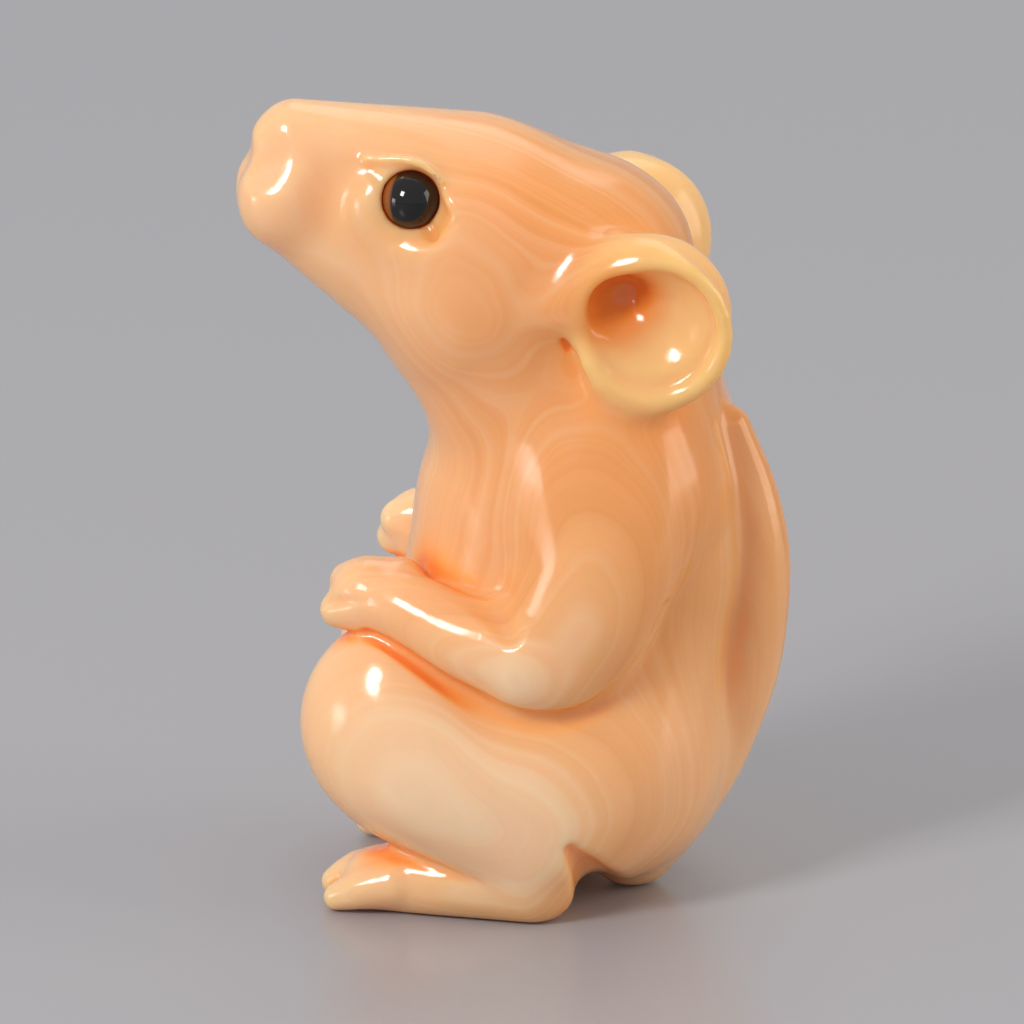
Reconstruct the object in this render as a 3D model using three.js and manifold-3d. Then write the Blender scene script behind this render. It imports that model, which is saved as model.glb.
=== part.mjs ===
// A small rat sitting up on its haunches, carved from one piece of banded shell, with two inlaid
// bead eyes. Millimetres, +Z up. The rat faces -Y and its left side is +X. It stands on Z = 0.
// The carving is one smooth surface. Each form is an egg, a tapered stroke or a soft blend of
// them, and the whole is the set of points where the blended distance is zero. Left and right
// mirror each other, apart from the turned head and the right hand, held closer to the chest.
import * as THREE from "three";
import { edgeTable, triTable } from "three/addons/objects/MarchingCubes.js";
import { mergeVertices } from "three/addons/utils/BufferGeometryUtils.js";
import Module from "manifold-3d";

// Driving dimensions
const HEIGHT = 30; // from the ground to the top of the snout
const HEAD_TURN = 14; // degrees that the head looks to its left
const EYE_DIAMETER = 2.1;
const EYE_PROUD = 0.62; // how far a bead stands out of the head
const EYE_CLEARANCE = 0.05; // all round a bead in its socket
const EAR_WALL = 0.75; // thickness of an ear's rim
const CREASE = 1.0; // softness of the creases under the forearms and above the feet
const FACET = 0.88; // width of the carved body's facets

// Every place, radius and fillet of the carving below is drawn in thirtieths of the height
const UNIT = HEIGHT / 30;
const HARD_EDGE = CREASE / UNIT; // fillet where a limb stands clear of the trunk
const SOFT_EDGE = 3.0; // fillet where it flows into the trunk

// Finishes
const SHELL = { color: 0xf0a466, roughness: 0.18, metalness: 0 };
const BEAD = { color: 0x0c0b0f, roughness: 0.08, metalness: 0 };

// Distance helpers. A point is an array of three numbers.

const clamp = THREE.MathUtils.clamp;

function ease(x, low, high, from, to) {
  return from + (to - from) * THREE.MathUtils.smoothstep(x, low, high);
}

// Turn about X, then Y, then Z, in degrees
function turning(tilt) {
  const [x, y, z] = tilt.map(THREE.MathUtils.degToRad);
  const e = new THREE.Matrix4().makeRotationFromEuler(new THREE.Euler(x, y, z, "ZYX")).elements;
  return [e[0], e[1], e[2], e[4], e[5], e[6], e[8], e[9], e[10]];
}

// An egg shape: centre, radii along its own axes, tilt in degrees
function egg(centre, radii, tilt = [0, 0, 0]) {
  const t = turning(tilt);
  return (p) => {
    const x = p[0] - centre[0];
    const y = p[1] - centre[1];
    const z = p[2] - centre[2];
    const u = (t[0] * x + t[1] * y + t[2] * z) / radii[0];
    const v = (t[3] * x + t[4] * y + t[5] * z) / radii[1];
    const w = (t[6] * x + t[7] * y + t[8] * z) / radii[2];
    const reach = Math.hypot(u, v, w);
    const slope = Math.hypot(u / radii[0], v / radii[1], w / radii[2]);
    return (reach * (reach - 1)) / Math.max(slope, 1e-9);
  };
}

// A tapered stroke with round ends, from a to b, each [x, y, z, radius]
function stroke(a, b) {
  const axis = [b[0] - a[0], b[1] - a[1], b[2] - a[2]];
  const length2 = axis[0] ** 2 + axis[1] ** 2 + axis[2] ** 2;
  const taper = a[3] - b[3];
  const cone2 = length2 - taper * taper;
  return (p) => {
    const x = p[0] - a[0];
    const y = p[1] - a[1];
    const z = p[2] - a[2];
    const along = x * axis[0] + y * axis[1] + z * axis[2];
    const past = along - length2;
    const off2 =
      (x * length2 - axis[0] * along) ** 2 +
      (y * length2 - axis[1] * along) ** 2 +
      (z * length2 - axis[2] * along) ** 2;
    const bend = Math.sign(taper) * taper * taper * off2;
    if (Math.sign(past) * cone2 * past * past * length2 > bend)
      return Math.sqrt(off2 + past * past * length2) / length2 - b[3];
    if (Math.sign(along) * cone2 * along * along * length2 < bend)
      return Math.sqrt(off2 + along * along * length2) / length2 - a[3];
    return (Math.sqrt((off2 * cone2) / length2) + along * taper) / length2 - a[3];
  };
}

// A limb or tail: strokes along a smooth curve through the points [x, y, z, radius]
function limb(points, pieces = 3) {
  const places = new THREE.CatmullRomCurve3(points.map((q) => new THREE.Vector3(...q)));
  const widths = new THREE.CatmullRomCurve3(points.map((q) => new THREE.Vector3(q[3], 0, 0)));
  const count = (points.length - 1) * pieces;
  const rings = Array.from({ length: count + 1 }, (_, i) => [
    ...places.getPoint(i / count).toArray(),
    widths.getPoint(i / count).x,
  ]);
  const strokes = rings.slice(1).map((ring, i) => stroke(rings[i], ring));
  return (p) => strokes.reduce((least, s) => Math.min(least, s(p)), Infinity);
}

// Joins two distances with a fillet of the given reach
function melt(a, b, reach) {
  const h = Math.max(reach - Math.abs(a - b), 0) / reach;
  return Math.min(a, b) - (h * h * reach) / 4;
}

// Carves b out of a, with the edge softened over the given reach
function scoop(a, b, reach) {
  return -melt(-a, b, reach);
}

// The head, drawn facing straight ahead and then turned about the neck
const NECK_PIVOT = [0, 3, 22];
const skull = egg([0, 1.5, 23.8], [4.5, 5.0, 4.0]);
const snoutTop = stroke([0, -7.9, 28.55, 1.45], [0, -1.8, 25.55, 3.9]);
const jaw = stroke([0, -8.1, 26.0, 1.75], [0, -2.4, 22.6, 3.0]);
const snoutHollow = egg([3.9, -6.5, 27.3], [1.6, 2.2, 1.5], [-25, 0, 0]);
const throat = egg([0, 0, 20.6], [3.6, 3.4, 4.2], [20, 0, 0]);
const cheek = egg([1.9, -1.0, 23.4], [2.45, 3.6, 3.0]);
const temple = egg([2.3, -1.4, 25.75], [1.5, 4.5, 1.75], [-12, 0, 0]);
const whiskerPad = egg([0.85, -8.55, 26.6], [1.1, 1.2, 1.4]);
const noseTip = egg([0, -8.75, 28.2], [0.75, 0.65, 0.85]);
const NARROW_SNOUT = 1.05; // how much narrower the snout is than its two round strokes

// The ridge that runs from the temple into the top of an ear
const earRoot = stroke([3.3, 1.4, 25.3, 1.0], [5.0, 4.1, 24.8, 0.75]);

// A shallow almond recess carries the eye
const eyeRecess = egg([3.5, -4.0, 26.85], [0.5, 1.2, 1.0], [-20, 0, 0]);
const EYE_PLACE = [-3.9, 26.9]; // forward and up, on the head as drawn

const headTurn = turning([0, 0, HEAD_TURN]);

// From the turned head to the head as drawn
function intoHead(p) {
  const t = headTurn;
  const [x, y, z] = p.map((value, i) => value - NECK_PIVOT[i]);
  return NECK_PIVOT.map((value, i) => value + t[3 * i] * x + t[3 * i + 1] * y + t[3 * i + 2] * z);
}

// From the head as drawn to the turned head
function outOfHead(p) {
  const t = headTurn;
  const [x, y, z] = p.map((value, i) => value - NECK_PIVOT[i]);
  return NECK_PIVOT.map((value, i) => value + t[i] * x + t[i + 3] * y + t[i + 6] * z);
}

// Fillets of the head: the reach with which each form is blended onto the forms before it
const SNOUT_FILLET = 1.6;
const HEAD_FORMS = [
  [skull, 1.8],
  [throat, 2.0],
  [cheek, 1.6],
  [temple, 1.5],
  [whiskerPad, 1.2],
  [noseTip, 0.6],
  [earRoot, 0.9],
];
const RECESS_FILLET = 0.8;

function head(p) {
  const h = intoHead(p);
  const m = [Math.abs(h[0]), h[1], h[2]];
  const narrow = [m[0] * NARROW_SNOUT, m[1], m[2]];
  let d = melt(snoutTop(narrow), jaw(narrow), SNOUT_FILLET);
  d = scoop(d, snoutHollow(m), SNOUT_FILLET);
  for (const [form, fillet] of HEAD_FORMS) d = melt(d, form(m), fillet);
  return scoop(d, eyeRecess(m), RECESS_FILLET);
}

// The trunk
const rump = egg([0, 3.65, 6.0], [5.6, 4.4, 5.65]);
const belly = egg([0, 0.8, 8.0], [4.8, 5.4, 6.0]);
const chest = egg([0, 2.5, 13.4], [5.1, 6.2, 7.6]);
const neck = egg([0, 2.4, 19.5], [4.5, 5.0, 5.0]);

const RUMP_FILLET = 1.5;
const CHEST_FILLET = 2.0;
const NECK_FILLET = 1.5;

function trunk(m) {
  let d = melt(rump(m), belly(m), RUMP_FILLET);
  d = melt(d, chest(m), CHEST_FILLET);
  return melt(d, neck(m), NECK_FILLET);
}

// A folded hind leg, its long foot flat on the ground, and the crease behind the heel
const thigh = egg([3.95, -1.3, 5.45], [3.0, 5.5, 3.3], [-25, 0, 0]);
const knee = egg([3.9, -3.6, 7.0], [2.6, 3.4, 3.95]);
const shin = stroke([4.1, -2.6, 5.4, 2.6], [4.5, 1.3, 2.7, 2.0]);
const foot = limb([
  [4.4, 1.4, 1.4, 1.65],
  [4.3, -2.0, 1.25, 1.45],
  [4.2, -4.2, 1.1, 1.25],
  [4.2, -5.4, 0.8, 0.95],
]);
const heelCrease = limb([
  [6.5, 2.8, 3.8, 0.15],
  [6.0, 3.2, 3.1, 0.3],
  [5.3, 3.6, 2.1, 0.5],
  [4.0, 3.8, 0.9, 0.85],
  [2.4, 3.4, 0, 1.1],
  [0, 2.9, -0.5, 1.0],
]);

const KNEE_FILLET = 1.5;
const SHIN_FILLET = 1.2;
const HEEL_FILLET = 0.5;
const THIGH_BLEND = [-3, 3]; // from the knee, which stands clear, back to the hip, which flows in

function addLeg(d, m) {
  const leg = melt(melt(thigh(m), knee(m), KNEE_FILLET), shin(m), SHIN_FILLET);
  const hipFillet = ease(m[1], ...THIGH_BLEND, HARD_EDGE, SOFT_EDGE);
  const joined = melt(melt(d, leg, hipFillet), foot(m), HARD_EDGE);
  return scoop(joined, heelCrease(m), HEEL_FILLET);
}

// An arm bent at the elbow, its hand held out over the knee
const upperArm = egg([4.5, 3.3, 11.9], [2.35, 2.75, 4.6], [-24, 0, 0]);
const shoulder = egg([3.2, 4.1, 15.5], [2.9, 3.2, 3.2]);
const elbow = egg([4.6, 1.9, 10.0], [1.95, 2.3, 2.3]);
const forearm = limb([
  [5.0, 1.2, 10.1, 1.95],
  [5.0, -1.2, 10.75, 1.5],
  [4.5, -3.2, 11.55, 1.3],
  [4.0, -4.6, 11.8, 1.15],
]);
const innerCrease = limb([
  [4.4, -2.4, 13.3, 0.3],
  [5.3, -1.0, 13.0, 0.55],
  [6.1, 0.2, 12.3, 0.6],
  [6.75, 0.95, 11.4, 0.32],
]);
const RIGHT_HAND_BACK = 0.6; // how much nearer to the chest the right hand is held
const RIGHT_HAND_UP = 0.2;
const REACH_OF_ARM = [-5, 1]; // from the hand, which is moved that much, to the elbow, which stays
const SHOULDER_FILLET = 2.0;
const ELBOW_FILLET = 0.7;
const INNER_FILLET = 0.35; // of the crease inside the elbow
const ARM_BLEND = [11.5, 17]; // from the elbow, which stands clear, up to the shoulder
const ARM_SOFT_EDGE = 2.3;

function addArm(d, m, isRight) {
  const drawn = isRight ? ease(m[1], ...REACH_OF_ARM, 1, 0) : 0;
  const a = [m[0], m[1] - RIGHT_HAND_BACK * drawn, m[2] - RIGHT_HAND_UP * drawn];
  let arm = melt(upperArm(m), shoulder(m), SHOULDER_FILLET);
  arm = melt(arm, elbow(m), ELBOW_FILLET);
  arm = melt(arm, forearm(a), ELBOW_FILLET);
  const joined = melt(d, arm, ease(m[2], ...ARM_BLEND, HARD_EDGE, ARM_SOFT_EDGE));
  return scoop(joined, innerCrease(m), INNER_FILLET);
}

// The tail lies up the middle of the back
const tail = limb([
  [-0.2, 4.3, 1.5, 1.6],
  [-0.4, 5.6, 3.2, 1.5],
  [-0.5, 7.0, 5.0, 1.4],
  [-0.3, 8.35, 8.2, 1.25],
  [0, 8.95, 11.5, 1.15],
  [0, 8.75, 14.5, 1.05],
  [0, 7.9, 17.6, 0.75],
]);

const TAIL_FILLET = 0.4;

// Signed distance to the whole carving at a point, negative inside, in thirtieths of the height
function carving(p) {
  const m = [Math.abs(p[0]), p[1], p[2]];
  let d = melt(trunk(m), head(p), NECK_FILLET);
  d = addLeg(d, m);
  d = addArm(d, m, p[0] < 0);
  return melt(d, tail(p), TAIL_FILLET);
}

// Surface of the carving

const CORNERS = [
  [0, 0, 0],
  [1, 0, 0],
  [1, 1, 0],
  [0, 1, 0],
  [0, 0, 1],
  [1, 0, 1],
  [1, 1, 1],
  [0, 1, 1],
];
const EDGES = [
  [0, 1],
  [1, 2],
  [3, 2],
  [0, 3],
  [4, 5],
  [5, 6],
  [7, 6],
  [4, 7],
  [0, 4],
  [1, 5],
  [2, 6],
  [3, 7],
];
const TRIANGLE_SLOTS = 16; // entries for each kind of cell in the triangle table

// The block of shell that the rat is carved from, in thirtieths of the height
const BLOCK = { low: [-8.2, -10.8, -1.6], high: [8.2, 10.8, 31] };
const LEAST_SHARE = 0.12; // nearest that the surface comes to a grid point, as a share of a facet

// Cuts the field's zero surface out of a grid over the block, as a closed mesh with shared corners
function surfaceOf(field, facet) {
  const lines = BLOCK.low.map((low, axis) => {
    const count = Math.ceil((BLOCK.high[axis] - low) / facet) + 1;
    return Array.from({ length: count }, (_, n) => low + n * facet);
  });
  const [nx, ny, nz] = lines.map((each) => each.length);
  const place = (i, j, k) => [lines[0][i], lines[1][j], lines[2][k]];
  const index = (i, j, k) => (k * ny + j) * nx + i;
  const values = new Float64Array(nx * ny * nz);
  for (let k = 0; k < nz; k++)
    for (let j = 0; j < ny; j++)
      for (let i = 0; i < nx; i++) {
        const d = field(place(i, j, k));
        values[index(i, j, k)] = (d < 0 ? -1 : 1) * Math.max(Math.abs(d), LEAST_SHARE * facet);
      }
  const positions = [];
  const faces = [];
  const known = new Map();
  const vertexOn = (i, j, k, edge) => {
    const [a, b] = EDGES[edge].map((c) => [i + CORNERS[c][0], j + CORNERS[c][1], k + CORNERS[c][2]]);
    const key = index(...a) * lines.length + b.findIndex((v, axis) => v !== a[axis]);
    if (!known.has(key)) {
      const [va, vb] = [values[index(...a)], values[index(...b)]];
      const [pa, pb] = [place(...a), place(...b)];
      const share = va / (va - vb);
      known.set(key, positions.length);
      positions.push(pa.map((v, axis) => v + (pb[axis] - v) * share));
    }
    return known.get(key);
  };
  for (let k = 0; k < nz - 1; k++)
    for (let j = 0; j < ny - 1; j++)
      for (let i = 0; i < nx - 1; i++) {
        let kind = 0;
        CORNERS.forEach((c, bit) => {
          if (values[index(i + c[0], j + c[1], k + c[2])] > 0) kind |= 1 << bit;
        });
        if (edgeTable[kind] === 0) continue;
        for (let t = kind * TRIANGLE_SLOTS; triTable[t] !== -1; t += 3)
          faces.push([0, 1, 2].map((n) => vertexOn(i, j, k, triTable[t + n])));
      }
  return { positions, faces };
}

const EVENING_ROUNDS = 4;
const SLOPE_STEP = 1 / 20; // of a facet, to feel the field's slope with
const LEAST_SLOPE2 = 0.25; // squared, so that a crease throws no corner far out

// Evens the facets out: each corner moves halfway to the middle of its neighbours and then back
// onto the field's surface
function evened({ positions, faces }, field, facet) {
  const neighbours = positions.map(() => new Set());
  faces.forEach((face) => face.forEach((v, n) => neighbours[v].add(face[(n + 1) % 3])));
  const step = facet * SLOPE_STEP;
  const onto = (p) => {
    const d = field(p);
    const slope = [0, 1, 2].map((axis) => {
      const q = [...p];
      q[axis] += step;
      return (field(q) - d) / step;
    });
    const slope2 = Math.max(slope[0] ** 2 + slope[1] ** 2 + slope[2] ** 2, LEAST_SLOPE2);
    return p.map((v, axis) => v - clamp(d, -facet / 2, facet / 2) * (slope[axis] / slope2));
  };
  let places = positions;
  for (let round = 0; round < EVENING_ROUNDS; round++) {
    const last = places;
    places = last.map((p, v) => {
      const around = [...neighbours[v]];
      const middle = [0, 1, 2].map((axis) => {
        const sum = around.reduce((total, n) => total + last[n][axis], 0);
        return sum / around.length;
      });
      return onto(onto(p.map((value, axis) => (value + middle[axis]) / 2)));
    });
  }
  return { positions: places, faces };
}

// Solids: cutting and joining

const MERGE_WITHIN = 1e-4; // millimetres
const wasm = await Module();
wasm.setup();

function solidOf(geometry) {
  const bare = new THREE.BufferGeometry();
  bare.setAttribute("position", geometry.getAttribute("position").clone());
  bare.setIndex(geometry.index);
  const merged = mergeVertices(bare, MERGE_WITHIN);
  return new wasm.Manifold(
    new wasm.Mesh({
      numProp: 3,
      vertProperties: new Float32Array(merged.attributes.position.array),
      triVerts: new Uint32Array(merged.index.array),
    }),
  );
}

function geometryOf(solid) {
  const mesh = solid.getMesh();
  const geometry = new THREE.BufferGeometry();
  geometry.setAttribute("position", new THREE.BufferAttribute(mesh.vertProperties, mesh.numProp));
  geometry.setIndex(new THREE.BufferAttribute(mesh.triVerts, 1));
  geometry.computeVertexNormals();
  return geometry;
}

// Ears and fingers, joined on as solids

const EAR_CENTRE = [5.85, 4.5, 22.5]; // middle of the rim, on the head as drawn
const EAR_SIZE = [5.9, 6.3]; // width and height over the rim
const EAR_BEHIND = 3.2; // how deep the lobe's back lies behind the rim
const BOWL_DEPTH = 1.5;
const EAR_DROOP = 8; // degrees that the ear faces downwards
const EAR_FORWARD = 8; // degrees that it faces forwards
const EAR_SIDES = 28;
const ARC_STEPS = 6;
const RIM_STEPS = 4;
const EAR_CANAL = { centre: [5.0, 3.7, 23.3], radii: [1.5, 1.2, 1.1], sides: 12, rings: 10 };

// Points of an arc about (across, along) from one angle to another, in degrees
function arc([across, along], [radiusAcross, radiusAlong], [from, to], steps = ARC_STEPS) {
  return Array.from({ length: steps + 1 }, (_, i) => {
    const angle = THREE.MathUtils.degToRad(from + ((to - from) * i) / steps);
    const x = across + radiusAcross * Math.cos(angle);
    return new THREE.Vector2(x, along + radiusAlong * Math.sin(angle));
  });
}

// A profile to be turned starts and ends exactly on its axis
function onAxis(profile) {
  profile[0].x = 0;
  profile.at(-1).x = 0;
  return profile;
}

// Sets a form that is drawn on the left of the head on the left or right of the turned head
function onHead(form, side) {
  const corners = form.getAttribute("position");
  for (let n = 0; n < corners.count; n++) {
    const placed = outOfHead([side * corners.getX(n), corners.getY(n), corners.getZ(n)]);
    corners.setXYZ(n, ...placed.map((v) => v * UNIT));
  }
  if (side < 0) form.setIndex([...form.index.array].reverse());
  return solidOf(form);
}

// Turns a profile about the ear's own axis. Its second coordinate runs out of the ear.
function earSolid(profile, side) {
  const [width, height] = EAR_SIZE;
  const droop = THREE.MathUtils.degToRad(EAR_DROOP);
  const forward = THREE.MathUtils.degToRad(-EAR_FORWARD);
  const oval = new THREE.LatheGeometry(profile, EAR_SIDES).rotateZ(-Math.PI / 2);
  oval.scale(1, 1, width / height).rotateX(Math.PI / 2);
  oval.rotateY(droop).rotateZ(forward).translate(...EAR_CENTRE);
  return onHead(oval, side);
}

const rimRadius = EAR_WALL / 2 / UNIT;
const rimMiddle = EAR_SIZE[1] / 2 - rimRadius;
const bowlRadius = rimMiddle - rimRadius;

// The cup: round the lobe's back, over the rolled rim and down into the bowl
function earCup(side) {
  const back = arc([0, 0], [EAR_SIZE[1] / 2, EAR_BEHIND], [-90, 0]);
  const rim = arc([rimMiddle, 0], [rimRadius, rimRadius], [0, 180], RIM_STEPS).slice(1);
  const bowl = arc([0, 0], [bowlRadius, BOWL_DEPTH], [0, -90]).slice(1);
  return earSolid(onAxis([...back, ...rim, ...bowl]), side);
}

// What the bowl takes out of the head
function earHollow(side) {
  const bowl = arc([0, 0], [bowlRadius, BOWL_DEPTH], [-90, 0]);
  const mouth = arc([0, 0], [bowlRadius, EAR_BEHIND], [0, 90]).slice(1);
  return earSolid(onAxis([...bowl, ...mouth]), side);
}

function earCanal(side) {
  const { centre, radii, sides, rings } = EAR_CANAL;
  const form = new THREE.SphereGeometry(1, sides, rings).scale(...radii).translate(...centre);
  return onHead(form, side);
}

// Fingers from their knuckles to their tips
const FINGERS = [
  { knuckle: [3.6, -4.5, 12.15], tip: [3.45, -5.5, 12.15] },
  { knuckle: [4.2, -4.6, 11.3], tip: [4.1, -5.85, 11.2] },
];
const KNUCKLE_RADIUS = 0.8;
const FINGERTIP_RADIUS = 0.62;
const FINGER_SIDES = 12;
const FINGER_STEPS = 4; // along the round of each end

function fingers(side) {
  const drawn = new THREE.Vector3(0, RIGHT_HAND_BACK, RIGHT_HAND_UP);
  if (side > 0) drawn.set(0, 0, 0);
  return FINGERS.map(({ knuckle, tip }) => {
    const a = new THREE.Vector3(...knuckle).add(drawn);
    const b = new THREE.Vector3(...tip).add(drawn);
    const [low, high] = [KNUCKLE_RADIUS, FINGERTIP_RADIUS];
    const profile = [
      ...arc([0, 0], [low, low], [-90, 0], FINGER_STEPS),
      ...arc([0, a.distanceTo(b)], [high, high], [0, 90], FINGER_STEPS),
    ];
    const up = new THREE.Vector3(0, 1, 0);
    const aim = new THREE.Quaternion().setFromUnitVectors(up, b.sub(a).normalize());
    const form = new THREE.LatheGeometry(onAxis(profile), FINGER_SIDES).applyQuaternion(aim);
    form.translate(...a.toArray()).scale(side * UNIT, UNIT, UNIT);
    if (side < 0) form.setIndex([...form.index.array].reverse());
    return solidOf(form);
  });
}

// Eyes

const EYE_SIDES = 16;
const EYE_RINGS = 10;

function ball(diameter) {
  return new THREE.SphereGeometry(diameter / 2, EYE_SIDES, EYE_RINGS);
}

const FEELER_STEP = 0.01;

// Middle of a bead: in from the skin of the head, felt for from the side at the eye's place
function eyeCentre(side) {
  let out = BLOCK.high[0];
  const place = () => outOfHead([side * out, ...EYE_PLACE]);
  while (carving(place()) > 0) out -= FEELER_STEP;
  out -= (EYE_DIAMETER / 2 - EYE_PROUD) / UNIT;
  return new THREE.Vector3(...place()).multiplyScalar(UNIT);
}

const eyes = { eye_left: eyeCentre(1), eye_right: eyeCentre(-1) };

// The carved body: the surface, cut flat where it stands, with a round socket for each bead

function carvedForm() {
  const facet = FACET / UNIT;
  const { positions, faces } = evened(surfaceOf(carving, facet), carving, facet);
  const geometry = new THREE.BufferGeometry();
  geometry.setAttribute("position", new THREE.Float32BufferAttribute(positions.flat(), 3));
  geometry.setIndex(faces.flat());
  return solidOf(geometry.scale(UNIT, UNIT, UNIT));
}

function carvedBody() {
  let body = carvedForm();
  for (const side of [1, -1]) {
    for (const finger of fingers(side)) body = body.add(finger);
    body = body.subtract(earHollow(side)).add(earCup(side)).subtract(earCanal(side));
  }
  const [wide, deep] = [2 * HEIGHT, HEIGHT];
  const ground = new THREE.BoxGeometry(wide, wide, deep).translate(0, 0, -deep / 2);
  body = body.subtract(solidOf(ground));
  for (const centre of Object.values(eyes)) {
    const socket = ball(EYE_DIAMETER + 2 * EYE_CLEARANCE).translate(centre.x, centre.y, centre.z);
    body = body.subtract(solidOf(socket));
  }
  return geometryOf(body);
}

function piece(name, geometry, finish) {
  const mesh = new THREE.Mesh(geometry, new THREE.MeshStandardMaterial(finish));
  mesh.name = name;
  return mesh;
}

const rat = new THREE.Group();
rat.add(piece("rat_body", carvedBody(), SHELL));
for (const [name, centre] of Object.entries(eyes)) {
  const bead = piece(name, ball(EYE_DIAMETER), BEAD);
  bead.position.copy(centre);
  rat.add(bead);
}

export default rat;
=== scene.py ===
"""A small rat carved from one piece of banded shell, sitting up on its haunches with its tail up its back.

The carving is one polished surface. Its forms are eggs, tapered strokes and limbs that melt into
each other, and the surface lies where their blended distance is zero. They are drawn in
millimetres, +Z up: the rat faces -Y and its left side is +X. Left and right mirror each other,
apart from the turned head and the right hand, which is held closer to the chest. The two eyes are
black beads in round sockets. Blender's own units are metres.
"""

import logging
import math
from collections.abc import Callable
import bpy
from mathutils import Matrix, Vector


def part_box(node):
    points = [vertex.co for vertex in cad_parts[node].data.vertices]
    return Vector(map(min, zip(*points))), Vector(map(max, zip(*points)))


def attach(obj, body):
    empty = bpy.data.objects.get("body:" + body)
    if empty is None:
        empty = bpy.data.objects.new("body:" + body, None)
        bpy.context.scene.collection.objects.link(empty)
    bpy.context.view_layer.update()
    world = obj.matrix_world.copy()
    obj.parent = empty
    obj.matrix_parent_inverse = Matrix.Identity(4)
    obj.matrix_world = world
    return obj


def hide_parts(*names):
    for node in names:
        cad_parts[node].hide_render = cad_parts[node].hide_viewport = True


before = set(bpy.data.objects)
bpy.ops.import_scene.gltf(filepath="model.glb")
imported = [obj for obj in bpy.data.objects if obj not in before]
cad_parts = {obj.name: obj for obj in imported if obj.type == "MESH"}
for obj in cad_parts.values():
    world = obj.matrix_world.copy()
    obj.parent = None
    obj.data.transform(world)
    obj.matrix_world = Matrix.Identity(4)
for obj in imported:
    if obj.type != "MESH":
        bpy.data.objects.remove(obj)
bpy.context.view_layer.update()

from concurrent.futures import ThreadPoolExecutor
from dataclasses import dataclass
from enum import Enum

import bpy
import numpy as np
from mathutils import Vector

MM = 0.001
Place = tuple[float, float, float]
Array = np.ndarray
Field = Callable[[Array], Array]
log = logging.getLogger("rat")


class Side(Enum):
    """The side of the rat, as the sign of X."""

    LEFT = 1.0
    RIGHT = -1.0


def turning(tilt: Place) -> Array:
    """Rotation matrix of turns about X, then Y, then Z.

    Args:
        tilt: The three turns, in degrees.

    Returns:
        A 3 by 3 matrix whose columns are the turned axes.
    """
    a, b, c = np.radians(tilt)
    about_x = np.array([[1, 0, 0], [0, np.cos(a), -np.sin(a)], [0, np.sin(a), np.cos(a)]])
    about_y = np.array([[np.cos(b), 0, np.sin(b)], [0, 1, 0], [-np.sin(b), 0, np.cos(b)]])
    about_z = np.array([[np.cos(c), -np.sin(c), 0], [np.sin(c), np.cos(c), 0], [0, 0, 1]])
    return about_z @ about_y @ about_x


def melt(a: Array, b: Array, reach: Array | float) -> Array:
    """Joins two distances with a fillet.

    Args:
        a: Distances to the first form.
        b: Distances to the second form.
        reach: How far from the seam the fillet starts.

    Returns:
        Distances to the two forms melted together.
    """
    share = np.maximum(reach - np.abs(a - b), 0) / reach
    return np.minimum(a, b) - share * share * reach / 4


def scoop(a: Array, b: Array, reach: Array | float) -> Array:
    """Carves form b out of form a, with the edge softened over the reach."""
    return -melt(-a, b, reach)


def ease(x: Array, low: float, high: float, start: float, end: float) -> Array:
    """Moves smoothly from start to end as x goes from low to high."""
    t = np.clip((x - low) / (high - low), 0, 1)
    return start + (end - start) * t * t * (3 - 2 * t)


@dataclass(frozen=True)
class Egg:
    """An egg-shaped form.

    Attributes:
        centre: Its middle.
        radii: Its radii along its own axes.
        tilt: Turns about X, Y and Z, in degrees.
    """

    centre: Place
    radii: Place
    tilt: Place = (0.0, 0.0, 0.0)

    def distance(self, points: Array) -> Array:
        """Signed distance to the egg, close to true near its surface."""
        own = (points - np.array(self.centre)) @ turning(self.tilt)
        radii = np.array(self.radii)
        reach = np.linalg.norm(own / radii, axis=1)
        slope = np.linalg.norm(own / radii**2, axis=1)
        return reach * (reach - 1) / np.maximum(slope, 1e-9)


@dataclass(frozen=True)
class Stroke:
    """A tapered stroke with round ends.

    Attributes:
        start: X, Y, Z and radius of one end.
        end: X, Y, Z and radius of the other.
    """

    start: tuple[float, float, float, float]
    end: tuple[float, float, float, float]

    def distance(self, points: Array) -> Array:
        """Signed distance to the stroke."""
        a, b = np.array(self.start), np.array(self.end)
        axis = b[:3] - a[:3]
        length2 = axis @ axis
        taper = a[3] - b[3]
        cone2 = length2 - taper * taper
        from_start = points - a[:3]
        along = from_start @ axis
        past = along - length2
        off2 = ((from_start * length2 - np.outer(along, axis)) ** 2).sum(1)
        bend = np.sign(taper) * taper * taper * off2
        at_end = np.sqrt(off2 + past * past * length2) / length2 - b[3]
        at_start = np.sqrt(off2 + along * along * length2) / length2 - a[3]
        between = (np.sqrt(off2 * cone2 / length2) + along * taper) / length2 - a[3]
        beyond = np.sign(past) * cone2 * past * past * length2 > bend
        before = np.sign(along) * cone2 * along * along * length2 < bend
        return np.where(beyond, at_end, np.where(before, at_start, between))


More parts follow.
